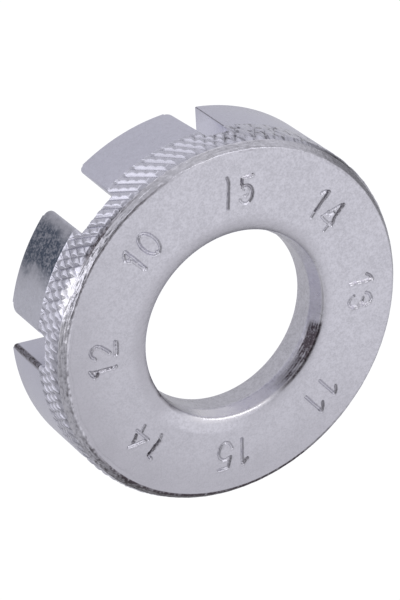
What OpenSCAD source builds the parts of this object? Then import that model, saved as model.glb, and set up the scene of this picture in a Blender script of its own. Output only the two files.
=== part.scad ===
// Round spoke wrench: a knurled ring with a crown of eight lugs.
// The gaps between the lugs fit spoke nipples of gauges 10 to 15.
// The ring lies on its crown, with its axis on Z and its numbered face on top.

/* [Ring] */
// Outer diameter of the ring
ring_d = 45; // [42:0.5:50]
// Thickness from the face to the ends of the lugs
ring_h = 11.6; // [10.5:0.1:14]
// Diameter of the bore in the middle
bore_d = 22.5; // [18:0.5:24]
// Thickness of the web round the bore
web_t = 4.8; // [4.4:0.1:5.6]
// How far the mouth of the bore is opened out, on its radius
mouth_flare = 0.65; // [0.4:0.05:0.8]
// Depth of the opened mouth below the face
mouth_depth = 2.1; // [1.5:0.1:2.6]
// Radial width of the rolled lip between the mouth and the flat of the face
lip_w = 1.8; // [1.2:0.1:2.2]
// Drop of the rolled lip, from the face down to the mouth
lip_drop = 0.35; // [0.2:0.05:0.6]
// Radius of the edge where the bore meets the back of the web
bore_back_r = 0.3; // [0.2:0.1:0.6]

/* [Shoulder] */
// Radial width of the sloped shoulder round the face
shoulder_w = 0.75; // [0.4:0.05:1]
// Height of the sloped shoulder, from the face to the knurl
shoulder_h = 1.1; // [0.6:0.1:1.6]
// Step from the shoulder out to the tips of the knurl
shoulder_step = 0.25; // [0.1:0.05:0.4]

/* [Knurl] */
// Height of the knurled band
knurl_h = 4; // [3:0.1:5]
// Number of diamonds in one turn
knurl_count = 108; // [72:2:132]
// Height of one diamond, from point to point
knurl_pitch = 2.3; // [1.8:0.1:2.8]
// Depth of the knurl's grooves
knurl_depth = 0.35; // [0.1:0.05:0.5]
// Height of the front of the knurl that turning the shoulder tapers off
knurl_lead = 0.8; // [0.3:0.1:1.2]
// Radial thickness of the band that the knurl is rolled into
band_w = 1.2; // [0.9:0.1:1.5]

/* [Crown] */
// Radial thickness of a lug
lug_w = 4.5; // [3.5:0.1:5]
// Depth of the slot floors below the face
floor_depth = 3.8; // [3.2:0.1:4]
// Radius of the corners at the ends of a lug
lug_corner_r = 1.1; // [0.5:0.1:1.4]
// Radius of the outer and inner edges at the ends of a lug
lug_edge_r = 0.35; // [0.2:0.05:0.6]

/* [Nipple slots] */
// Width of the 10 gauge slot
slot_10 = 5.2; // [5:0.05:5.6]
// Width of the 11 gauge slot
slot_11 = 4.7; // [4.4:0.05:5]
// Width of the 12 gauge slot
slot_12 = 4.2; // [4.1:0.05:4.5]
// Width of the 13 gauge slot
slot_13 = 3.85; // [3.6:0.05:4.1]
// Width of the two 14 gauge slots
slot_14 = 3.45; // [3.3:0.05:3.7]
// Width of the two 15 gauge slots
slot_15 = 3.25; // [3.1:0.05:3.4]

/* [Hidden] */

// Smoothness of the round faces
$fn = 96;

// Clearance between the knurled band and the ring inside it
band_gap = 0.01;
// How far a cutting shape runs past what it cuts
overrun = 1;

// Slots clockwise from the one at +Y, as the numbers run on the face
slot_widths = [slot_15, slot_14, slot_13, slot_11, slot_15, slot_14, slot_12, slot_10];
slot_count = len(slot_widths);
slot_step = 360 / slot_count;
first_slot_angle = 90;

ring_r = ring_d / 2;
bore_r = bore_d / 2;
shoulder_r = ring_r - shoulder_step;
face_r = shoulder_r - shoulder_w;
core_r = ring_r - band_w;
crown_r = ring_r - lug_w;
mouth_r = bore_r + mouth_flare;

web_z = ring_h - web_t;
floor_z = ring_h - floor_depth;
knurl_top_z = ring_h - shoulder_h;
knurl_base_z = knurl_top_z - knurl_h;

knurl_columns = 2 * knurl_count;
column_step = 360 / knurl_columns;
row_step = knurl_pitch / 2;
// Half diamonds over the band, with the last one rolled past the end that is turned off
knurl_rows = floor(knurl_h / row_step) + 1;
rolled_top_z = knurl_base_z + knurl_rows * row_step;
// One column of the band: the outer rows, then the inner top and the inner base
column_points = knurl_rows + 3;

steel = [0.74, 0.73, 0.78];
knurl_steel = [0.62, 0.61, 0.66];

function slot_angle(i) = first_slot_angle - i * slot_step;

// Waste of a corner of a square that is rounded by r, with the corner at the origin
module corner_waste(r) {
    difference() {
        square(r);
        translate([r, r]) circle(r);
    }
}

// Waste of the bore's mouth: its taper, and the lip that rolls from it up to the face
module mouth_waste() {
    lip_arc_r = (lip_w * lip_w + lip_drop * lip_drop) / (2 * lip_drop);
    polygon([
        [bore_r, ring_h - mouth_depth], [mouth_r, ring_h - lip_drop], [mouth_r, ring_h + overrun],
        [bore_r - overrun, ring_h + overrun], [bore_r - overrun, ring_h - mouth_depth]
    ]);
    difference() {
        translate([mouth_r, ring_h - lip_drop]) square([lip_w, lip_drop + overrun]);
        translate([mouth_r + lip_w, ring_h - lip_arc_r]) circle(lip_arc_r);
    }
}

// Flange: the numbered face, the sloped shoulder, the web and the bore
module flange_profile() {
    difference() {
        union() {
            translate([bore_r, web_z]) square([crown_r - bore_r, web_t]);
            translate([crown_r, floor_z]) square([core_r - crown_r, floor_depth]);
            polygon([[core_r, knurl_top_z], [shoulder_r, knurl_top_z], [face_r, ring_h], [core_r, ring_h]]);
        }
        mouth_waste();
        translate([bore_r, web_z]) corner_waste(bore_back_r);
    }
}

module flange() {
    color(steel) rotate_extrude() flange_profile();
}

// Knurled band: crossed grooves leave pyramids between them, and run out at the back edge
function is_groove(column, row) = (column + row) % 2 == 0;

function groove_depth(column, row) = row == 0 || !is_groove(column, row) ? 0 : knurl_depth;

function ring_point(r, angle, z) = [r * cos(angle), r * sin(angle), z];

function band_column(column) = let (angle = column * column_step) concat(
    [for (row = [0 : knurl_rows])
        ring_point(ring_r - groove_depth(column, row), angle, knurl_base_z + row * row_step)],
    [ring_point(core_r + band_gap, angle, rolled_top_z), ring_point(core_r + band_gap, angle, knurl_base_z)]
);

function point_index(column, row) = (column % knurl_columns) * column_points + row % column_points;

// The two faces of one cell, split from groove to groove so that the pyramids are whole
function cell_faces(column, row) =
    let (a = point_index(column, row))
    let (b = point_index(column + 1, row))
    let (c = point_index(column + 1, row + 1))
    let (d = point_index(column, row + 1))
    is_groove(column, row) ? [[a, c, b], [a, d, c]] : [[a, d, b], [b, d, c]];

module knurl_ring() {
    columns = [for (column = [0 : knurl_columns - 1]) each band_column(column)];
    cells = [for (column = [0 : knurl_columns - 1], row = [0 : column_points - 1])
        each cell_faces(column, row)];
    polyhedron(points = columns, faces = cells);
}

// Waste of the knurl's front, turned off along the taper that ends at the shoulder
module front_waste() {
    taper_w = 2 * shoulder_step;
    rotate_extrude()
        polygon([
            [core_r - overrun, knurl_top_z], [shoulder_r, knurl_top_z],
            [shoulder_r + taper_w, knurl_top_z - knurl_lead * taper_w / shoulder_step],
            [shoulder_r + taper_w, rolled_top_z + overrun], [core_r - overrun, rolled_top_z + overrun]
        ]);
}

module knurled_band() {
    color(knurl_steel) difference() {
        knurl_ring();
        front_waste();
        for (i = [0 : slot_count - 1]) slot(i);
    }
}

// Slot: parallel walls, a flat floor and a mouth that rounds the corners of the lugs
module slot_outline(width) {
    mouth_w = width + 2 * lug_corner_r;
    translate([-width / 2, -overrun]) square([width, floor_z + overrun]);
    difference() {
        translate([-mouth_w / 2, -overrun]) square([mouth_w, lug_corner_r + overrun]);
        for (side = [-1, 1]) translate([side * mouth_w / 2, lug_corner_r]) circle(lug_corner_r);
    }
}

module slot(i) {
    cut_r = ring_r + overrun;
    rotate([0, 0, slot_angle(i) + 90])
        rotate([90, 0, 0])
            linear_extrude(cut_r) slot_outline(slot_widths[i]);
}

// Lug: one block of the crown, between two slots, tucked in behind the knurled band
module lug_profile() {
    difference() {
        union() {
            translate([crown_r, 0]) square([core_r - crown_r, floor_z]);
            translate([core_r, 0]) square([ring_r - core_r, knurl_base_z]);
        }
        translate([crown_r, 0]) corner_waste(lug_edge_r);
        translate([ring_r, 0]) mirror([1, 0]) corner_waste(lug_edge_r);
    }
}

// Wedge of space between the middles of slot i and the next one
module wedge(i) {
    reach = 2 * ring_r;
    rotate([0, 0, slot_angle(i + 1)])
        linear_extrude(floor_z)
            polygon([[0, 0], [reach, 0], [reach * cos(slot_step), reach * sin(slot_step)]]);
}

module lug(i) {
    color(steel) difference() {
        intersection() {
            rotate_extrude() lug_profile();
            wedge(i);
        }
        slot(i);
        slot((i + 1) % slot_count);
    }
}

flange();
knurled_band();
lug(0);  // lug_15_to_14
lug(1);  // lug_14_to_13
lug(2);  // lug_13_to_11
lug(3);  // lug_11_to_15
lug(4);  // lug_15_to_14_low
lug(5);  // lug_14_to_12
lug(6);  // lug_12_to_10
lug(7);  // lug_10_to_15
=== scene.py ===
import math

import bpy
import numpy as np
from mathutils import Matrix, Vector, noise


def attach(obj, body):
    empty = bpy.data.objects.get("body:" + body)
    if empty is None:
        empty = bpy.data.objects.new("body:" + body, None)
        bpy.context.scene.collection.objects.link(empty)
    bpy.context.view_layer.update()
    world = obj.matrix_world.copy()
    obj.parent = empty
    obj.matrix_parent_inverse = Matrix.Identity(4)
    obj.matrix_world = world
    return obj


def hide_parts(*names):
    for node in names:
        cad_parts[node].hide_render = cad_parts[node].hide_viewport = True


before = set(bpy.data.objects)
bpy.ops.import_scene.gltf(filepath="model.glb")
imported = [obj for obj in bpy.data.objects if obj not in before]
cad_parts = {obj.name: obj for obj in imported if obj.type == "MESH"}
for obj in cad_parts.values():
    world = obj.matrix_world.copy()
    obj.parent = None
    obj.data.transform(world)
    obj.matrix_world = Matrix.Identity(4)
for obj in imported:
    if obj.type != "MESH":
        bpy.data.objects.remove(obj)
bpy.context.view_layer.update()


# Flange: the numbered face with its rolled inner lip, its bore and its sloped shoulder.
# Real piece: the front of one steel ring, turned and bored in a lathe, then plated with zinc.
# Sizes are in mm. The ends of the lugs lie at height 0, and the top slot points to +Y.
MM = 0.001
FACE_Z = 11.6
FLOOR_Z = 7.8
CROWN_R = 18.0
CORE_R = 21.3
RING_R = 22.5
KNURL_FRONT_Z = 10.7
SHOULDER_IN_R = 21.25
SHOULDER_END_R = 22.17
STAMP_IN_R = 14.1
STAMP_OUT_R = 19.5
STAMP_ROW = 0.15
FLANGE_FACETS = 600
RIB_UP = 0.02
WELD_GAP = 0.002


def close_up():
    """Welds the seams of the mesh that is being edited, turns its faces outwards and leaves edit mode."""
    bpy.ops.mesh.select_all(action="SELECT")
    bpy.ops.mesh.remove_doubles(threshold=WELD_GAP * MM)
    bpy.ops.mesh.normals_make_consistent(inside=False)
    bpy.ops.object.mode_set(mode="OBJECT")


def turned_ring(name, outline, facets):
    """A ring turned to a closed outline of (radius, height) points."""
    bpy.ops.object.select_all(action="DESELECT")
    r, z = outline[0]
    bpy.ops.mesh.primitive_circle_add(vertices=facets, radius=r * MM, location=(0, 0, z * MM))
    ring = bpy.context.object
    ring.name = name
    bpy.ops.object.transform_apply(location=True, rotation=False, scale=False)
    bpy.ops.object.mode_set(mode="EDIT")
    bpy.ops.mesh.select_all(action="SELECT")
    for next_r, next_z in outline[1:] + outline[:1]:
        bpy.ops.mesh.extrude_region_move(TRANSFORM_OT_translate={"value": (0, 0, (next_z - z) * MM)})
        bpy.ops.transform.resize(value=(next_r / r, next_r / r, 1), center_override=(0, 0, next_z * MM))
        r, z = next_r, next_z
    close_up()
    return ring


def lathe_marks(start, end, count):
    """Points from start to end with the shallow ribs that the lathe tool leaves."""
    (r0, z0), (r1, z1) = start, end
    length = math.hypot(r1 - r0, z1 - z0)
    up_r, up_z = (z1 - z0) / length, (r0 - r1) / length
    points = []
    for i in range(2 * count + 1):
        share = i / (2 * count)
        rib = RIB_UP if i % 2 else 0.0
        points.append((r0 + (r1 - r0) * share + up_r * rib, z0 + (z1 - z0) * share + up_z * rib))
    return points


# The outline runs inward over the face, down the bore, out along the back and up the shoulder.
# The rows of the face lie close together where the furrow and the numbers will be.
stamp_w = STAMP_OUT_R - STAMP_IN_R
stamp_rows = round(stamp_w / STAMP_ROW)
face_rows = [(r, FACE_Z) for r in (21.2, 21.1, 21.0, 20.9, 20.8, 20.65, 20.4)]
face_rows += [(STAMP_OUT_R - stamp_w * i / stamp_rows, FACE_Z) for i in range(stamp_rows + 1)]
lip = [(13.7, 11.6), (13.2, 11.59), (12.8, 11.565), (12.4, 11.52), (12.1, 11.46), (11.85, 11.38),
       (11.7, 11.3)]
bore = lathe_marks((11.64, 11.2), (11.3, 9.8), 5)
back = [(11.26, 9.7), (11.25, 9.5), (11.25, 7.15), (11.29, 6.95), (11.4, 6.84), (11.55, 6.8), (CROWN_R, 6.8)]
inside = [(CROWN_R, FLOOR_Z), (CORE_R, FLOOR_Z), (CORE_R, KNURL_FRONT_Z)]
shoulder = [(SHOULDER_END_R, KNURL_FRONT_Z)] + lathe_marks((22.13, 10.78), (21.63, 11.47), 7)
edge = [(21.59, 11.52), (21.56, 11.55), (21.52, 11.575), (21.47, 11.59), (21.4, 11.598), (21.3, 11.6)]
outline = face_rows + lip + bore + back + inside + shoulder + edge
flange = turned_ring("numbered_flange", outline, FLANGE_FACETS)


def ring_places(piece):
    """x, y and z of each vertex of piece, and its angle in degrees and radius round the ring."""
    place = np.zeros(3 * len(piece.data.vertices))
    piece.data.vertices.foreach_get("co", place)
    x, y, z = place.reshape(-1, 3).T / MM
    return x, y, z, np.degrees(np.arctan2(y, x)), np.hypot(x, y)


def put_back(piece, x, y, z):
    """Moves each vertex of piece to its x, y and z."""
    piece.data.vertices.foreach_set("co", np.column_stack((x, y, z)).ravel() * MM)


def uneven(x, y, z, along, across):
    """Smooth noise from about -0.5 to 0.5, with along waves per mm round the ring and across in height."""
    return np.array([noise.noise(Vector((a * along, b * along, c * across))) for a, b, c in zip(x, y, z)])


def graded(place, *marks):
    """The value at each place, drawn straight between marks of (place, value)."""
    at, value = zip(*marks)
    return np.interp(place, at, value)


# The mouth of the bore is turned off centre, so that its crisp edge is wider on one side.
MOUTH_SHIFT = 0.36
MOUTH_SIDE = math.radians(-20)
x, y, z, degrees, radius = ring_places(flange)
shift = MOUTH_SHIFT * graded(z, (9.75, 0), (11.15, 1)) * graded(radius, (11.75, 1), (13.6, 0))
x += shift * math.cos(MOUTH_SIDE)
y += shift * math.sin(MOUTH_SIDE)

# The tool tore the shoulder into streaks, coarse ones and fine ones.
COARSE_TEAR = 0.07
FINE_TEAR = 0.05
torn = (radius > SHOULDER_IN_R) & (z > KNURL_FRONT_Z)
rough = graded(degrees[torn], (-180, 1), (-150, 0.6), (-60, 0.4), (60, 0.3), (100, 0.5), (120, 1), (180, 1))
streaks = COARSE_TEAR * uneven(x[torn], y[torn], z[torn], 1.1, 7.0)
streaks += FINE_TEAR * uneven(x[torn], y[torn], z[torn], 2.4, 3.0)
push = 1 + rough * streaks / radius[torn]
x[torn] *= push
y[torn] *= push

# On the side of the 12 slot it also left a faint furrow, which wanders inside the edge of the face.
FURROW_R = 21.05
FURROW_WANDER = 0.4
FURROW_HALF = 0.12
FURROW_DEEP = 0.045
worked = (radius > 20.5) & (radius < SHOULDER_IN_R) & (z > 11.5)
furrow_r = FURROW_R + FURROW_WANDER * uneven(x[worked], y[worked], z[worked], 0.35, 1.0)
deep = graded(degrees[worked] % 360, (158, 0), (172, FURROW_DEEP), (226, FURROW_DEEP), (240, 0))
z[worked] -= deep * np.exp(-((radius[worked] - furrow_r) / FURROW_HALF) ** 2)
put_back(flange, x, y, z)


# Gauge numbers: pressed into the face with hand punches, two digits by each slot.
# Each stroke is a rounded groove, with the metal that it pushed aside standing up along both edges.
STROKE_HALF = 0.2
STROKE_DEEP = 0.2
RIDGE_OFF = 0.27
RIDGE_HALF = 0.07
RIDGE_UP = 0.03
NEAR_STROKE = 0.5


def arc(x, y, across, up, start, end, steps):
    """Points along an oval round x, y, from the angle start to the angle end."""
    angles = [math.radians(start + (end - start) * i / steps) for i in range(steps + 1)]
    return [(x + across * math.cos(a), y + up * math.sin(a)) for a in angles]


# Each number by its angle and radius on the face. Its strokes are (force, painted tone, points), seen with
# the rim upward, x from the middle of the number and y from that radius. The painted tone is painted shade
# in the stroke where it is above 0, and a painted highlight where it is below.
stamps = [
    (89.7, 16.67, [
        (0.9, 0.3, [(-1.42, 1.85), (-1.22, 1.3), (-1.18, 0.0), (-1.2, -1.95)]),
        (1.3, -0.7, [(0.55, 1.5), (1.2, 1.6), (1.86, 1.62)]),
        (1.2, 0.5, [(0.5, 1.45), (0.5, 0.8), (0.62, 0.62)]),
        (0.85, 0.4, arc(1.1, -0.6, 0.86, 1.1, 125, -60, 18)),
        (0.5, 0, arc(1.1, -0.6, 0.86, 1.1, -60, -150, 10)),
        (0.35, 0, arc(1.05, -0.3, 0.35, 0.5, 150, -120, 12)),
    ]),
    (45.1, 16.93, [
        (1.25, 0.45, [(-1.3, 1.65), (-1.24, 0.1), (-1.12, -1.1)]),
        (0.6, 0, [(-1.12, -1.1), (-1.0, -1.9)]),
        (0.8, 0, [(-2.0, 0.95), (-1.75, 1.42), (-1.38, 1.66)]),
        (1.15, 0.5, [(1.58, 1.68), (1.62, 0.6), (1.72, -0.3), (2.0, -0.75)]),
        (0.55, 0, [(1.7, -0.9), (1.72, -2.1)]),
        (0.6, 0, [(1.4, 1.55), (0.75, 0.3), (0.25, -0.85)]),
        (0.8, 0, [(0.45, -0.1), (0.85, -0.3), (1.15, 0.25)]),
        (0.65, 0, [(0.1, -1.05), (1.0, -1.12), (2.1, -1.05)]),
    ]),
    (1.5, 17.1, [
        (1.2, -0.7, [(-1.18, 1.6), (-1.26, 0.0), (-1.28, -1.5)]),
        (0.9, 0.3, [(-2.02, 0.78), (-1.7, 1.28), (-1.2, 1.58)]),
        (1.0, 0, [(0.4, 0.75), (0.7, 1.25), (1.25, 1.5), (1.75, 1.25)]),
        (1.3, -0.6, [(1.75, 1.25), (1.9, 0.75), (1.75, 0.25), (1.45, 0.08)]),
        (0.8, 0, [(1.3, 0.25), (0.95, 0.35)]),
        (1.3, -0.6, [(1.5, 0.05), (1.9, -0.4), (1.88, -1.1), (1.6, -1.5)]),
        (0.9, 0, [(1.6, -1.5), (1.1, -1.65), (0.65, -1.4), (0.4, -0.95)]),
    ]),
    (-45.2, 16.98, [
        (0.95, 0, [(-1.27, 1.55), (-1.3, 0.0), (-1.34, -1.5)]),
        (0.85, 0.3, [(-2.1, 0.9), (-1.8, 1.35), (-1.35, 1.6)]),
        (1.0, 0, [(1.25, 1.55), (1.22, 0.0), (1.17, -1.6)]),
        (1.1, 0.4, [(0.35, 0.9), (0.7, 1.35), (1.2, 1.68)]),
    ]),
    (-89.2, 16.7, [
        (0.9, 0, [(-1.25, 1.65), (-1.2, 0.0), (-1.16, -1.65)]),
        (1.2, 0.4, [(-1.9, 1.1), (-1.62, 1.3), (-1.4, 1.62)]),
        (1.0, 0, [(0.7, 1.62), (1.3, 1.7), (2.0, 1.65)]),
        (0.9, 0.2, [(0.66, 1.55), (0.5, 0.9), (0.35, 0.3)]),
        (0.7, 0, [(0.4, 0.3), (0.9, 0.5), (1.35, 0.55), (1.8, 0.2), (2.0, -0.45)]),
        (1.0, 0, [(2.0, -0.45), (1.85, -1.1), (1.6, -1.5)]),
        (0.6, 0, [(1.6, -1.5), (1.1, -1.78), (0.55, -1.55), (0.15, -0.85)]),
    ]),
    (-132.9, 16.65, [
        (1.4, 0.6, [(-1.32, 1.05), (-1.3, 0.0), (-1.36, -1.0)]),
        (0.9, 0, [(-1.36, -1.0), (-1.1, -1.7)]),
        (1.2, 0, [(-1.9, 1.22), (-1.65, 1.2)]),
        (1.1, 0, [(1.7, 1.55), (1.0, 0.75), (0.35, -0.1)]),
        (0.7, 0, [(0.05, -0.42), (1.0, -0.45), (2.2, -0.55)]),
        (1.1, 0.5, [(1.62, 0.85), (1.72, 0.3), (1.9, -0.05)]),
        (0.8, 0, [(1.5, -0.7), (1.68, -1.5)]),
    ]),
    (-179.1, 16.9, [
        (0.85, 0.3, [(-1.3, 1.6), (-1.32, 0.6), (-1.3, -1.0)]),
        (1.1, 0, [(-1.95, 1.15), (-1.6, 1.45), (-1.15, 1.72)]),
        (1.2, 0.5, [(-1.85, 0.85), (-1.65, 0.75)]),
        (1.1, 0, [(-1.32, -1.35), (-1.22, -1.6)]),
        (1.0, 0, [(0.32, 1.0), (0.6, 1.4), (1.1, 1.62), (1.62, 1.4), (1.85, 0.8)]),
        (1.0, 0, [(1.85, 0.8), (1.6, 0.2), (1.15, -0.35), (0.7, -0.85)]),
        (0.9, 0, [(0.2, -1.5), (1.0, -1.55), (1.9, -1.5)]),
        (0.7, 0, [(0.25, -1.75), (1.0, -1.8), (1.8, -1.75)]),
    ]),
    (135.2, 17.03, [
        (1.05, 0, [(-1.2, 1.7), (-1.18, 0.0), (-1.2, -1.95)]),
        (0.6, 0, [(-1.5, 0.6), (-1.5, -0.6), (-1.45, -1.8)]),
        (0.8, 0, [(-2.0, 0.95), (-1.75, 1.45), (-1.3, 1.74)]),
        (1.1, 0, [(-1.85, 0.7), (-1.65, 0.3)]),
        (1.1, 0, arc(1.12, -0.2, 0.88, 1.78, 20, 250, 20)),
        (0.85, 0, arc(1.12, -0.2, 0.88, 1.78, 250, 380, 14)),
        (0.9, 0, [(1.0, -1.7), (1.15, -2.05)]),
    ]),
]


def on_face(angle, number_r, point):
    """Where a point of the number at angle and number_r lies on the face."""
    a = math.radians(angle)
    x, y = point
    return (x * math.sin(a) + (number_r + y) * math.cos(a), -x * math.cos(a) + (number_r + y) * math.sin(a))


stroke_parts = []
for angle, number_r, strokes in stamps:
    for force, painted_tone, points in strokes:
        places = [on_face(angle, number_r, point) for point in points]
        stroke_parts += [(start, end, force, painted_tone) for start, end in zip(places, places[1:])]


def pressed(x, y):
    """How deep and how raised the face is at the points x, y, how near a stroke is, and the painted shade or
    highlight of the stroke.
    """
    deep = np.zeros(len(x))
    raised = np.zeros(len(x))
    nearest = np.full(len(x), RING_R)
    painted_tones = np.zeros(len(x))
    for (x0, y0), (x1, y1), force, painted_tone in stroke_parts:
        length = (x1 - x0) ** 2 + (y1 - y0) ** 2
        along = np.clip(((x - x0) * (x1 - x0) + (y - y0) * (y1 - y0)) / length, 0, 1)
        off = np.hypot(x - x0 - along * (x1 - x0), y - y0 - along * (y1 - y0))
        half = STROKE_HALF * (0.75 + 0.25 * force)
        # From 0 on the narrow floor of the groove to 1 at the top of its wall
        wall = np.clip(1.4 * off / half - 0.4, 0, 1)
        groove = STROKE_DEEP * force * (0.5 + 0.5 * np.cos(math.pi * wall))
        painted_tones = np.where(groove > deep, painted_tone, painted_tones)
        deep = np.maximum(deep, groove)
        raised = np.maximum(raised, RIDGE_UP * force * np.exp(-((off - RIDGE_OFF) / RIDGE_HALF) ** 2))
        nearest = np.minimum(nearest, off)
    return deep, np.where(deep > 0, 0, raised), nearest, painted_tones


def flat_places(count, take):
    """x and y of what take fills in, and whether it lies in the zone of the face that takes the stamps."""
    place = np.zeros(3 * count)
    take(place)
    x, y, z = place.reshape(-1, 3).T / MM
    radius = np.hypot(x, y)
    return x, y, (abs(z - FACE_Z) < 0.001) & (radius > STAMP_IN_R - 0.1) & (radius < STAMP_OUT_R + 0.1)


def pick(piece):
    """Selects piece alone."""
    bpy.ops.object.select_all(action="DESELECT")
    piece.select_set(True)
    bpy.context.view_layer.objects.active = piece


# The faces near a stroke are split once, and then the points are pressed in and pushed up.
pick(flange)
bpy.ops.object.mode_set(mode="EDIT")
bpy.ops.mesh.select_mode(type="FACE")
bpy.ops.mesh.select_all(action="DESELECT")
bpy.ops.object.mode_set(mode="OBJECT")
faces = flange.data.polygons
x, y, flat = flat_places(len(faces), lambda place: faces.foreach_get("center", place))
close = np.zeros(len(faces), dtype=bool)
close[flat] = pressed(x[flat], y[flat])[2] < NEAR_STROKE
faces.foreach_set("select", close)
bpy.ops.object.mode_set(mode="EDIT")
bpy.ops.mesh.subdivide(number_cuts=1)
bpy.ops.mesh.select_mode(type="VERT")
bpy.ops.object.mode_set(mode="OBJECT")
corners = flange.data.vertices
x, y, flat = flat_places(len(corners), lambda place: corners.foreach_get("co", place))
deep, raised, _, painted_tones = pressed(x[flat], y[flat])
# Each stroke's painted tone: painted shade above 0, painted highlight below.
stamp_shade_and_highlight = np.zeros(len(x))
stamp_shade_and_highlight[flat] = painted_tones
for i, lift in zip(np.flatnonzero(flat), raised - deep):
    corners[int(i)].co.z += float(lift) * MM


# Zinc plating, on every piece of the wrench: a thin satin coat, bluish and slightly cloudy,
# with a fine grain from the bath that breaks up its reflections.
# The colour that painted highlights lighten the plating toward.
PAINTED_HIGHLIGHT = (0.96, 0.94, 1, 1)
STAIN_COLOUR = (0.1, 0.125, 0.185, 1)
STAIN_OUT = 4.2
STAIN_IN = 1.9
STAIN_RAGGED = 4
STAIN_SQUEEZE = (1, 1, 0.38)


class Level:
    """A number or colour that varies from place to place, to be written into sums."""

    def __init__(self, finish, socket):
        self.finish = finish
        self.socket = socket

    def maths(self, operation, first, second):
        return self.finish.node("ShaderNodeMath", {"operation": operation}, {0: first, 1: second})

    def __add__(self, other):
        return self.maths("ADD", self, other)

    def __radd__(self, other):
        return self.maths("ADD", other, self)

    def __sub__(self, other):
        return self.maths("SUBTRACT", self, other)

    def __rsub__(self, other):
        return self.maths("SUBTRACT", other, self)

    def __mul__(self, other):
        return self.maths("MULTIPLY", self, other)

    def __rmul__(self, other):
        return self.maths("MULTIPLY", other, self)


class Finish:
    """The nodes of a new material, or of the room's light, which is their owner."""

    def __init__(self, owner):
        self.owner = owner
        owner.use_nodes = True
        self.tree = owner.node_tree
        self.tree.nodes.clear()

    def node(self, kind, settings, values, output=0):
        made = self.tree.nodes.new(kind)
        for setting, value in settings.items():
            if setting == "stops":
                ramp = made.color_ramp
                while len(ramp.elements) < len(value):
                    ramp.elements.new(0.5)
                for element, (place, shade) in zip(ramp.elements, value):
                    element.position = place
                    element.color = shade
            else:
                setattr(made, setting, value)
        for socket, value in values.items():
            if isinstance(value, Level):
                self.tree.links.new(value.socket, made.inputs[socket])
            else:
                made.inputs[socket].default_value = value
        return Level(self, made.outputs[output]) if made.outputs else made


def blotches(finish, place, scale, detail):
    """Noise in the plating, with scale blotches in a metre."""
    return finish.node("ShaderNodeTexNoise", {}, {"Vector": place, "Scale": scale, "Detail": detail}, "Fac")


def mixed(finish, share, first, second):
    """The colour first with share of second over it."""
    return finish.node("ShaderNodeMix", {"data_type": "RGBA"}, {0: share, 6: first, 7: second}, 2)


def distance(finish, place, point):
    """How far each place is from point."""
    return finish.node("ShaderNodeVectorMath", {"operation": "DISTANCE"}, {0: place, 1: point}, "Value")


def soft_step(finish, value, gone, full):
    """Rises softly from 0, where value is gone, to 1, where it is full."""
    return finish.node("ShaderNodeMapRange", {"interpolation_type": "SMOOTHSTEP"}, {
        "Value": value, "From Min": gone, "From Max": full})


def stain_share(finish, place, middle, cloud, fine):
    """How much of a ragged stain, taller than wide, lies over the plating round its middle."""
    flat = finish.node("ShaderNodeVectorMath", {"operation": "MULTIPLY"}, {0: place, 1: STAIN_SQUEEZE})
    off = distance(finish, flat, middle)
    spread = soft_step(finish, off + (cloud - 0.5) * (STAIN_RAGGED * MM), STAIN_OUT * MM, STAIN_IN * MM)
    patchy = finish.node("ShaderNodeMapRange", {}, {
        "Value": fine, "From Min": 0.64, "From Max": 0.44, "To Min": 0.4, "To Max": 1.0})
    return spread * patchy


def zinc_plating(name, roughness, grain_deep, tint, mottling, dirt_and_shade, stain_middle=None):
    """Plating whose tint varies by mottling, darkened by dirt and painted shade and lightened by painted
    highlights, as its piece's attribute marks.
    """
    finish = Finish(bpy.data.materials.new(name))
    place = finish.node("ShaderNodeTexCoord", {}, {}, "Object")
    cloud = blotches(finish, place, 300.0, 2.0)
    speck = blotches(finish, place, 1700.0, 1.0)
    grain = blotches(finish, place, 4200.0, 1.0)
    shade = finish.node("ShaderNodeValToRGB", {"stops": [
        (0.38, tuple(part * (1 - mottling) for part in tint) + (1,)),
        (0.5, (*tint, 1)),
        (0.62, tuple(part * (1 + mottling) for part in tint) + (1,)),
    ]}, {"Fac": cloud * 0.16 + speck * 0.38 + grain * 0.46})
    tarnish = finish.node("ShaderNodeAttribute", {"attribute_name": "tarnish"}, {}, "Fac")
    # The attribute darkens the tint above 0, for dirt and for painted shade, and lightens it below 0, as a
    # painted highlight.
    shade = mixed(finish, tarnish * (grain + speck), shade, (*dirt_and_shade, 1))
    shade = mixed(finish, tarnish * -1.0, shade, PAINTED_HIGHLIGHT)
    if stain_middle:
        stain = stain_share(finish, place, stain_middle, cloud, grain * 0.5 + speck * 0.5)
        shade = mixed(finish, stain, shade, STAIN_COLOUR)
    bump = finish.node("ShaderNodeBump", {}, {
        "Strength": 1.0, "Distance": grain_deep * MM, "Height": grain + speck * 2.0})
    shader = finish.node("ShaderNodeBsdfPrincipled", {}, {
        "Base Color": shade, "Metallic": 1.0, "Roughness": roughness + (speck - 0.5) * 0.12, "Normal": bump})
    finish.node("ShaderNodeOutputMaterial", {}, {"Surface": shader})
    return finish.owner


def mark_dirt_and_painted_light(piece, amount):
    """Marks at each vertex of piece how far the plating is darkened, up to 1, for dirt and for painted
    shade, or lightened, down to -1, as a painted highlight.
    """
    mark = piece.data.attributes.new("tarnish", "FLOAT", "POINT")
    mark.data.foreach_set("value", np.clip(amount, -1, 1))


def eased(piece, angle):
    """Shades piece smooth, apart from edges sharper than angle degrees."""
    pick(piece)
    bpy.ops.object.shade_smooth_by_angle(angle=math.radians(angle))


# Finish of the flange: painted shade in the mouth of the bore, and a little painted shade on the face and
# its lip.
# The bottom of the mouth and of the lip has painted highlights.
x, y, z, degrees, radius = ring_places(flange)
mouth = (radius < 12.35) & (z > 9.85) & (z < 11.4)
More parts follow.
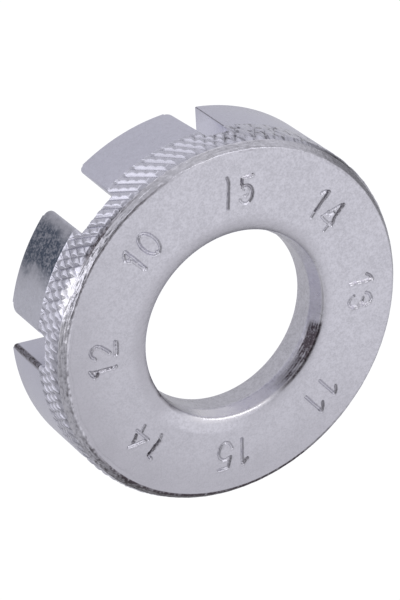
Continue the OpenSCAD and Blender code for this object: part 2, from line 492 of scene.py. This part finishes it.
# Above 0, painted shade in the mouth; below 0, painted highlights.
mouth_shade_and_highlight = graded(degrees, (-180, 0), (-160, 0.3), (-135, 0.5), (-117, 0.1), (-108, -1), (-72, -1),
                    (-60, 0), (-50, 0.55), (-38, 0.72), (-30, 1.6), (-18, 1.9), (-11, -0.1), (0, -0.4),
                    (20, -0.4), (30, 0))
furrows = 0.86 - 0.22 * np.cos(math.pi * (11.2 - z) / 0.14)
furrows[mouth] += 0.7 * uneven(x[mouth], y[mouth], z[mouth], 0.7, 9.0)
furrows *= graded(z, (9.9, 0.15), (10.2, 0.65), (10.6, 1.1), (11.1, 1.25))
dirt_shade_and_sheen = np.where(mouth, mouth_shade_and_highlight * np.where(mouth_shade_and_highlight > 0, furrows, 1), 0)

# Painted shade on the face, most on the left and toward the bottom.
face_shade = graded(degrees, (-180, 0.2), (-140, 0.24), (-60, 0.17), (-20, 0.02), (20, 0), (120, 0),
                   (150, 0.1), (180, 0.2))
dirt_shade_and_sheen += np.where(z > 11.4, face_shade * graded(radius, (13, 0.5), (16, 0.55), (20, 1)), 0) + stamp_shade_and_highlight

on_lip = (z > 11.3) & (z < 11.599) & (radius < 13.9)
# Painted shade on the rolled lip, most at the top.
lip_shade = graded(degrees, (-180, 0.12), (-130, 0.08), (-60, 0.1), (20, 0.1), (50, 0.19), (100, 0.19),
                  (130, 0.14), (180, 0.12))
# Painted highlights on the bottom of the lip, a narrow one by its edge and a wide one.
lip_highlight = graded(degrees, (-125, 0), (-105, 0.9), (-75, 0.9), (-55, 0))
wide_lip_highlight = graded(degrees, (-138, 0), (-120, 0.36), (-95, 0.32), (-78, 0))
dirt_shade_and_sheen += np.where(on_lip, lip_shade * graded(radius, (12.2, 1), (12.7, 0.8), (13.6, 0)), 0)
dirt_shade_and_sheen -= np.where(on_lip, lip_highlight * graded(radius, (12.0, 1), (12.35, 0)), 0)
dirt_shade_and_sheen -= np.where(on_lip, wide_lip_highlight * graded(radius, (12.3, 1), (13.1, 0.8), (13.7, 0)), 0)

# The shoulder is mottled at random, and has painted shade, most of all low down, and painted highlights in
# two short stretches. Its foot has painted shade by the 10 slot and a painted highlight below that, and a
# painted dark line follows the edge of the face there.
outside = (radius > SHOULDER_IN_R) & (z > KNURL_FRONT_Z)
foot = outside & (z < 10.95)
rim_line = outside & (z > 11.51) & (radius > 21.38)
dirt_shade_and_sheen += np.where(outside, graded(
    degrees % 360, (36, 0), (46, 0.15), (54, 0.15), (60, 0), (76, 0), (86, 0.12), (93, 0.05), (100, -0.25),
    (107, -0.05), (115, 0.12), (124, 0.12), (132, 0), (160, 0), (170, -0.3), (180, 0), (205, 0), (230, 0.75),
    (290, 0.9), (320, 0)), 0)
dirt_shade_and_sheen += np.where(foot, graded(degrees, (118, 0), (128, 0.35), (134, 0.5), (140, 1), (146, 0.8), (151, 0.1),
                              (154, -0.6), (162, -0.9), (166, 0)), 0)
dirt_shade_and_sheen += np.where(rim_line, graded(degrees, (110, 0), (125, 0.55), (158, 0.55), (168, 0)), 0)
mottled = graded(degrees[outside] % 360, (150, 0.25), (170, 0.7), (230, 0.7), (260, 0.25))
dirt_shade_and_sheen[outside] += mottled * uneven(x[outside], y[outside], z[outside], 2.6, 5.0)
mark_dirt_and_painted_light(flange, dirt_shade_and_sheen)
face_zinc = zinc_plating("zinc_face", 0.3, 0.012, (0.72, 0.71, 0.787), 0.11, (0.086, 0.071, 0.084))
flange.data.materials.append(face_zinc)
eased(flange, 50)
weigh = flange.modifiers.new("weigh", "WEIGHTED_NORMAL")
weigh.keep_sharp = True
bpy.ops.object.modifier_apply(modifier="weigh")
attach(flange, "root")
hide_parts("flange")


# Nipple slots: eight, cut from the back with straight walls, one for each gauge number.
# They leave the lugs of the crown, and a notch in the back edge of the knurl.
SLOT_WIDTHS = (3.25, 3.45, 3.85, 4.7, 3.25, 3.45, 4.2, 5.2)
SLOT_TURN = 45
CUT_IN_R = 15.0
CUT_OUT_R = 23.5
CUT_BACK_Z = -2.0
WALL_ROW_Z = 5.0
MOUTH_TURN = 10
FLARE_TURN = 22.5
FLARE_TURNS = 4
FLARE_STEPS = 8
# A row of corners on each wall, so that painted shade outside it stays in a narrow strip along the edge
SHADED_EDGE_R = 21.9

# Each side of a slot: how far its wall stands out of true, how far it leans out toward the mouth and
# toward the rim, and the rounding of its mouth and of its outer edge. The slots in view show these faults.
TRUE_SIDE = (0.0, 0.0, 0.0, 1.1, 0.4)
LEFT_SIDES = {0: (0.1, 0.45, 0.0, 0.8, 0.4), 6: (-0.15, 0.0, 0.0, 0.55, 0.4)}
RIGHT_SIDES = {0: (-0.2, 0.0, -0.33, 0.2, 0.16), 7: (0.12, 0.0, 0.0, 0.7, 0.4)}


def slot_side(number, sides, step, floor):
    """(sideways, height, radius) points of one side of a slot, at one step outward to its flared edge."""
    out_of_true, mouth_lean, rim_lean, mouth_r, edge_r = sides.get(number, TRUE_SIDE)
    flare = math.radians(FLARE_TURN * min(max(step - 2, 0), FLARE_TURNS))
    ease = edge_r * (1 - math.cos(flare))
    flare_r = RING_R - edge_r * (1 - math.sin(flare))
    radius = {0: CUT_IN_R, 1: SHADED_EDGE_R, FLARE_STEPS - 1: CUT_OUT_R}.get(step, flare_r)
    half = SLOT_WIDTHS[number] / 2 + out_of_true + rim_lean * (radius - CROWN_R) / (RING_R - CROWN_R)
    bend = mouth_r - ease
    points = [(half + ease, floor + ease), (half + ease, WALL_ROW_Z), (half + ease, mouth_r)]
    for turn in range(MOUTH_TURN, 90, MOUTH_TURN):
        a = math.radians(turn)
        points.append((half + mouth_r - bend * math.cos(a), mouth_r - bend * math.sin(a)))
    points += [(half + mouth_r, ease), (half + mouth_r, CUT_BACK_Z)]
    return [(x + mouth_lean * min(max(1 - z / floor, 0), 1), z, radius) for x, z in points]


def slot_outline(number, step, floor):
    """(sideways, height, radius) points all round a slot seen along its radius, its right side first."""
    left = slot_side(number, LEFT_SIDES, step, floor)
    return slot_side(number, RIGHT_SIDES, step, floor) + [(-x, z, radius) for x, z, radius in reversed(left)]


def slot_cutter(number, floor):
    """The waste of one slot, with a flare that rounds the edges it leaves on the outside of the ring."""
    bpy.ops.object.select_all(action="DESELECT")
    count = len(slot_outline(number, 0, floor))
    bpy.ops.mesh.primitive_circle_add(vertices=count, radius=MM, fill_type="NGON")
    cutter = bpy.context.object
    bpy.ops.object.mode_set(mode="EDIT")
    bpy.ops.mesh.select_all(action="SELECT")
    for _ in range(FLARE_STEPS - 1):
        bpy.ops.mesh.extrude_region_move(TRANSFORM_OT_translate={"value": (0, 0, MM)})
    bpy.ops.object.mode_set(mode="OBJECT")
    turn = Matrix.Rotation(math.radians(-SLOT_TURN * number), 4, "Z")
    for step in range(FLARE_STEPS):
        points = cutter.data.vertices[step * count:]
        for point, (x, z, radius) in zip(points, slot_outline(number, step, floor)):
            point.co = turn @ Vector((x * MM, math.sqrt(radius * radius - x * x) * MM, z * MM))
    bpy.ops.object.mode_set(mode="EDIT")
    bpy.ops.mesh.select_all(action="SELECT")
    bpy.ops.mesh.normals_make_consistent(inside=False)
    bpy.ops.object.mode_set(mode="OBJECT")
    return cutter


def all_slots(floor):
    """The waste of the eight slots as one tool, cut up to the height of floor."""
    tools = [slot_cutter(number, floor) for number in range(len(SLOT_WIDTHS))]
    pick(tools[0])
    for tool in tools:
        tool.select_set(True)
    bpy.ops.object.join()
    return tools[0]


def cut(piece, tool):
    """Cuts tool out of piece and clears tool up."""
    pick(piece)
    change = piece.modifiers.new("cut", "BOOLEAN")
    change.operation = "DIFFERENCE"
    change.solver = "EXACT"
    change.object = tool
    bpy.ops.object.modifier_apply(modifier="cut")
    bpy.data.objects.remove(tool)


# Crown: eight lugs behind the face, smooth outside, all of one thickness.
# Real piece: the back of the same ring, parted from its neighbours by the slots.
LUG_NAMES = ("15_to_14", "14_to_13", "13_to_11", "11_to_15",
             "15_to_14_low", "14_to_12", "12_to_10", "10_to_15")
LUG_EDGE_R = 0.14
LUG_ROW_Z = 3.0
KNURL_BACK_Z = 6.5
CUT_OVER = 0.5
CROWN_FACETS = 360
edge_turns = [math.radians(turn) for turn in (0, 22.5, 45, 67.5, 90)]
inner_edge = [(CROWN_R + LUG_EDGE_R - LUG_EDGE_R * math.sin(a), LUG_EDGE_R - LUG_EDGE_R * math.cos(a))
              for a in reversed(edge_turns)]
outer_edge = [(RING_R - LUG_EDGE_R + LUG_EDGE_R * math.sin(a), LUG_EDGE_R - LUG_EDGE_R * math.cos(a))
              for a in edge_turns]
wall = [(RING_R, LUG_ROW_Z), (RING_R, KNURL_BACK_Z), (CORE_R, KNURL_BACK_Z), (CORE_R, FLOOR_Z),
        (CROWN_R, FLOOR_Z), (CROWN_R, LUG_ROW_Z)]
crown = turned_ring("crown", inner_edge + outer_edge + wall, CROWN_FACETS)
cut(crown, all_slots(FLOOR_Z + CUT_OVER))
bpy.ops.object.mode_set(mode="EDIT")
bpy.ops.mesh.select_all(action="SELECT")
bpy.ops.mesh.separate(type="LOOSE")
bpy.ops.object.mode_set(mode="OBJECT")

# A blue-black stain lies across one lug, below the 10 slot. Two lugs end a little lower than the rest.
STAIN_ANGLE = math.radians(152)
STAIN_MIDDLE = (RING_R * math.cos(STAIN_ANGLE) * MM, RING_R * math.sin(STAIN_ANGLE) * MM, 1.5 * MM)
LOW_LUGS = ("12_to_10", "10_to_15")
LOW_BY = 0.12
# The dark colour of painted shade on the lugs.
lug_painted_shade = (0.08, 0.07, 0.08)
lug_zinc = zinc_plating("zinc_lugs", 0.3, 0.006, (0.63, 0.625, 0.735), 0.05, lug_painted_shade)
# Besides its stain, this lug's plating is a darker copy of the lugs' plating: painted shade.
stained_shaded_zinc = zinc_plating("zinc_stained_and_shaded", 0.3, 0.008, (0.57, 0.57, 0.65), 0.07, lug_painted_shade, STAIN_MIDDLE)
for lug in list(bpy.context.selected_objects):
    middle = sum((corner.co for corner in lug.data.vertices), Vector()) / len(lug.data.vertices)
    number = int(((90 - math.degrees(math.atan2(middle.y, middle.x))) % 360) // SLOT_TURN)
    between = LUG_NAMES[number]
    lug.name = "crown_lug_" + between
    lug.data.materials.append(stained_shaded_zinc if between == "12_to_10" else lug_zinc)
    x, y, z, degrees, radius = ring_places(lug)
    if between == "14_to_12":
        # Painted shade along the outer edge of the wall below the 12 slot, and a little over the rest of the
        # lug
        mark_dirt_and_painted_light(lug, np.where((x < 0) & (radius > SHADED_EDGE_R + 0.05) & (y > -2.4), 0.8, 0.08))
    if between == "15_to_14":
        # Painted shade along the outer edge of the top slot
        mark_dirt_and_painted_light(lug, np.where((y > 0) & (radius > 22.3) & (x > 1.12) & (x < 1.245), 0.65, 0))
    if between in LOW_LUGS:
        z -= graded(z, (0, LOW_BY), (2, 0))
        put_back(lug, x, y, z)
    eased(lug, 35)
    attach(lug, "root")
    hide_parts("lug_" + between)


# Knurled band: crossed grooves rolled into the rim for grip, which leave small pyramids.
# The knurl runs out softly at the back and breaks off unevenly where the shoulder was turned.
KNURL_COUNT = 108
KNURL_PITCH_Z = 2.24
COLUMNS_PER_GROOVE = 16
KNURL_ROWS = 30
ROW_HIGH = KNURL_PITCH_Z / COLUMNS_PER_GROOVE
BAND_IN_R = CORE_R + 0.01
GROOVE_DEEP = 0.34
GROOVE_HALF = 0.34
RUN_OUT = 0.45

bpy.ops.object.select_all(action="DESELECT")
bpy.ops.mesh.primitive_circle_add(vertices=COLUMNS_PER_GROOVE * KNURL_COUNT, radius=RING_R * MM,
                                  location=(0, 0, KNURL_BACK_Z * MM))
band = bpy.context.object
band.name = "knurled_band_rolled"
bpy.ops.object.transform_apply(location=True, rotation=False, scale=False)
bpy.ops.object.mode_set(mode="EDIT")
bpy.ops.mesh.select_all(action="SELECT")
for _ in range(KNURL_ROWS):
    bpy.ops.mesh.extrude_region_move(TRANSFORM_OT_translate={"value": (0, 0, ROW_HIGH * MM)})
bpy.ops.mesh.extrude_region_move()
bpy.ops.transform.resize(value=(BAND_IN_R / RING_R, BAND_IN_R / RING_R, 1))
bpy.ops.mesh.extrude_region_move(TRANSFORM_OT_translate={"value": (0, 0, -KNURL_ROWS * ROW_HIGH * MM)})
bpy.ops.mesh.extrude_region_move()
bpy.ops.transform.resize(value=(RING_R / BAND_IN_R, RING_R / BAND_IN_R, 1))
close_up()

# No two grooves are pressed quite alike. On the right of the rim they are worn down, in patches, and
# each hand of them is fainter on one stretch of it.
press = np.random.default_rng(108)
right_hand = press.uniform(0.8, 1.15, KNURL_COUNT)
left_hand = press.uniform(0.8, 1.15, KNURL_COUNT)


def groove(turns, deep):
    """Depth of one hand of V grooves with eased crests, where turns counts them round the ring."""
    off = np.minimum(np.abs(turns - np.round(turns)) / GROOVE_HALF, 1)
    number = np.round(turns).astype(int) % KNURL_COUNT
    return GROOVE_DEEP * deep[number] * (1 - off) ** 1.2


x, y, z, degrees, radius = ring_places(band)
outer = radius > 22.0
turns = degrees / 360 * KNURL_COUNT
row = (z - KNURL_BACK_Z) / KNURL_PITCH_Z
worn = graded(degrees, (-180, 1), (-145, 0.9), (-125, 0.3), (50, 0.3), (80, 0.5), (92, 1), (180, 1))
patchy = graded(degrees, (-125, 0), (-100, 1), (80, 1), (92, 0))
worn *= 1 - patchy * np.clip(0.5 - 2.5 * uneven(x, y, z, 0.8, 0.5), 0, 1)
right_share = graded(degrees, (-180, 0.45), (-140, 0.8), (-100, 1), (145, 1), (165, 0.6), (180, 0.45))
left_share = graded(degrees, (-180, 1), (90, 1), (100, 0.3), (142, 0.3), (152, 1), (180, 1))
right = groove(turns + row + 0.45, right_hand) * right_share
left = groove(turns - row, left_hand) * left_share
depth = np.maximum(right, left) * worn * np.clip((z - KNURL_BACK_Z) / RUN_OUT, 0, 1)

# The cut of the shoulder reaches further over the knurl on one side, with a ragged front.
front = graded(degrees % 360, (0, 10.05), (110, 10.05), (138, 10.15), (150, 9.8), (165, 9.65), (215, 9.7),
               (240, 10.0), (360, 10.05))
ragged = graded(degrees % 360, (0, 0.3), (110, 0.3), (130, 1), (230, 1), (260, 0.3), (360, 0.3))
front += ragged * (0.45 * uneven(x, y, z, 1.3, 0.8) + 0.25 * uneven(x, y, z, 3.1, 1.0))
slope = np.clip((z - front) / (KNURL_FRONT_Z - front), 0, 1)
turned = RING_R - (RING_R - SHOULDER_END_R) * slope
turned -= 0.06 * ragged * np.abs(uneven(x, y, z, 1.5, 6.0)) * np.minimum(slope * 6, 1)
knurled_r = np.minimum(RING_R - depth, np.maximum(turned, SHOULDER_END_R))

# Painted shade sits in the grooves, deepest in the deepest grooves and more on some stretches of the rim,
# and dirt in flecks on the worn knurl beside the top slot. The front has painted shade by the 14 and 10
# slots, and its cut has a painted highlight above the 12 slot.
groove_shade = graded(degrees % 360, (30, 1), (80, 1), (92, 0.9), (104, 0.6), (142, 0.4), (155, 0.7), (172, 1),
              (184, 1.4), (200, 1), (212, 1), (222, 0.4), (260, 0.25))
flecked = graded(degrees, (54, 0), (66, 1), (90, 1), (98, 0))
dirt_shade_and_sheen = groove_shade * (0.06 + 0.5 * depth / GROOVE_DEEP)
dirt_shade_and_sheen += flecked * np.clip(6 * uneven(x, y, z, 2.4, 1.3) - 1.1, 0, 0.5)
dirt_shade_and_sheen += np.where(z > 10.3, graded(degrees, (40, 0), (47, 0.7), (54, 0.7), (60, 0), (118, 0), (128, 0.35),
                                  (134, 0.5), (145, 0.8), (150, 0)), 0)
dirt_shade_and_sheen += np.where(z > front, graded(degrees, (149, 0), (154, -0.9), (162, -0.9), (166, 0)), 0)
mark_dirt_and_painted_light(band, np.where(outer, dirt_shade_and_sheen, 0))
radius = np.where(outer, knurled_r, BAND_IN_R)
angle = np.radians(degrees)
put_back(band, radius * np.cos(angle), radius * np.sin(angle), z)
cut(band, all_slots(FLOOR_Z))
knurl_zinc = zinc_plating("zinc_knurl", 0.27, 0.008, (0.665, 0.66, 0.76), 0.08, (0.075, 0.07, 0.085))
band.data.materials.append(knurl_zinc)
eased(band, 50)
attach(band, "root")
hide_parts("knurled_band")


# Studio: a plain pale table and soft white walls, with the camera at the photograph's angle.
# The camera sees only white. The metal sees the table's dim spots, where hands and stands shade it.
PAPER = (0.985, 0.985, 1.0, 1)
PAPER_LIGHT = 1.05
TABLE_R = 34
TABLE_Z = -0.2
bpy.ops.object.select_all(action="DESELECT")
bpy.ops.mesh.primitive_circle_add(vertices=96, radius=TABLE_R * MM, fill_type="NGON",
                                  location=(0, 0, TABLE_Z * MM))
table = bpy.context.object
table.name = "table"
bpy.ops.object.transform_apply(location=True, rotation=False, scale=False)
paper = Finish(bpy.data.materials.new("white_table"))
spot = paper.node("ShaderNodeTexCoord", {}, {}, "Object")


def shade_spot(x, y, narrow, wide, amount):
    """Light added on the table round x, y, full inside narrow and gone outside wide."""
    off = distance(paper, spot, (x * MM, y * MM, 0))
    return amount * soft_step(paper, off, wide * MM, narrow * MM)


table_light = (0.67
               + shade_spot(-22.6, 12.2, 3, 9, -0.2)
               + shade_spot(-1, 17.5, 2, 5, 0.12)
               + shade_spot(4, -8, 6, 21, -0.14))
seen = paper.node("ShaderNodeLightPath", {}, {}, "Is Camera Ray")
glow = paper.node("ShaderNodeEmission", {}, {
    "Color": PAPER, "Strength": table_light * (1 - seen) + PAPER_LIGHT * seen})
clear = paper.node("ShaderNodeBsdfTransparent", {}, {})
side = paper.node("ShaderNodeNewGeometry", {}, {}, "Backfacing")
sheet = paper.node("ShaderNodeMixShader", {}, {0: side, 1: glow, 2: clear})
paper.node("ShaderNodeOutputMaterial", {}, {"Surface": sheet})
table.data.materials.append(paper.owner)

world = bpy.data.worlds.new("studio")
bpy.context.scene.world = world
room = Finish(world)
look = room.node("ShaderNodeTexCoord", {}, {}, "Generated")


def toward(direction):
    """How far the way one looks runs along direction."""
    return room.node("ShaderNodeVectorMath", {"operation": "DOT_PRODUCT"}, {0: look, 1: direction}, "Value")


def aim_at(around, up):
    """The direction at the angle around and the angle up, in degrees."""
    a, e = math.radians(around), math.radians(up)
    return (math.cos(a) * math.cos(e), math.sin(a) * math.cos(e), math.sin(e))


def lit_patch(around, up, narrow, wide, amount):
    """Light added round a direction in degrees, full inside narrow and gone outside wide."""
    near = toward(aim_at(around, up))
    return amount * soft_step(room, near, math.cos(math.radians(wide)), math.cos(math.radians(narrow)))


def soft_box(around, up, half_wide, half_tall, soft, amount):
    """Light added by an upright rectangle, its sizes in degrees, with an edge soft degrees wide."""
    ahead = toward(aim_at(around, up))
    light = amount * room.node("ShaderNodeMath", {"operation": "GREATER_THAN"}, {0: ahead, 1: 0.0})
    for way, half in ((aim_at(around + 90, 0), half_wide), (aim_at(around, up + 90), half_tall)):
        lean = room.node("ShaderNodeMath", {"operation": "ARCTAN2"}, {0: toward(way), 1: ahead})
        lean = room.node("ShaderNodeMath", {"operation": "ABSOLUTE"}, {0: lean})
        light = light * soft_step(room, lean, math.radians(half + soft), math.radians(half))
    return light


brightness = (0.62
              + lit_patch(-42, 48, 12, 42, 0.17)
              + lit_patch(62, -16, 10, 26, 0.22)
              + soft_box(60, 18, 22, 6, 6, -0.15)
              + lit_patch(-52, 12, 14, 32, -0.24)
              + lit_patch(155, 76, 9, 20, -0.32)
              + lit_patch(-125, 5, 30, 75, -0.15)
              + soft_box(160, 51, 22, 8, 6, -0.5)
              + lit_patch(-148, 42, 6, 24, -0.2)
              + lit_patch(187, 14, 5, 13, -0.2)
              + soft_box(171, -3, 6, 26, 6, 0.9)
              + soft_box(160, 20, 5, 10, 5, 0.8)
              + soft_box(150, -20, 8, 14, 7, 0.5)
              + soft_box(120, -20, 15, 8, 6, 0.6)
              + soft_box(182, -22, 4, 12, 4, 0.5)
              + soft_box(50, 48, 16, 6, 5, 1.6)
              + soft_box(4, -12, 12, 20, 10, -0.36))
brightness = room.node("ShaderNodeMath", {"operation": "MAXIMUM"}, {0: brightness, 1: 0.03})
seen = room.node("ShaderNodeLightPath", {}, {}, "Is Camera Ray")
sky = room.node("ShaderNodeBackground", {}, {
    "Color": PAPER, "Strength": brightness * (1 - seen) + PAPER_LIGHT * seen})
room.node("ShaderNodeOutputWorld", {}, {"Surface": sky})

lens = bpy.data.cameras.new("lens")
lens.lens = 172.07
lens.sensor_width = 36
lens.clip_start = 0.01
lens.clip_end = 20
camera = bpy.data.objects.new("camera", lens)
bpy.context.scene.collection.objects.link(camera)
camera.location = (-0.150766, 0.145166, 0.261956)
camera.rotation_euler = (math.radians(-26.3515), math.radians(-29.917), math.radians(0.8659))
bpy.context.scene.camera = camera
bpy.context.scene.view_settings.view_transform = "Standard"
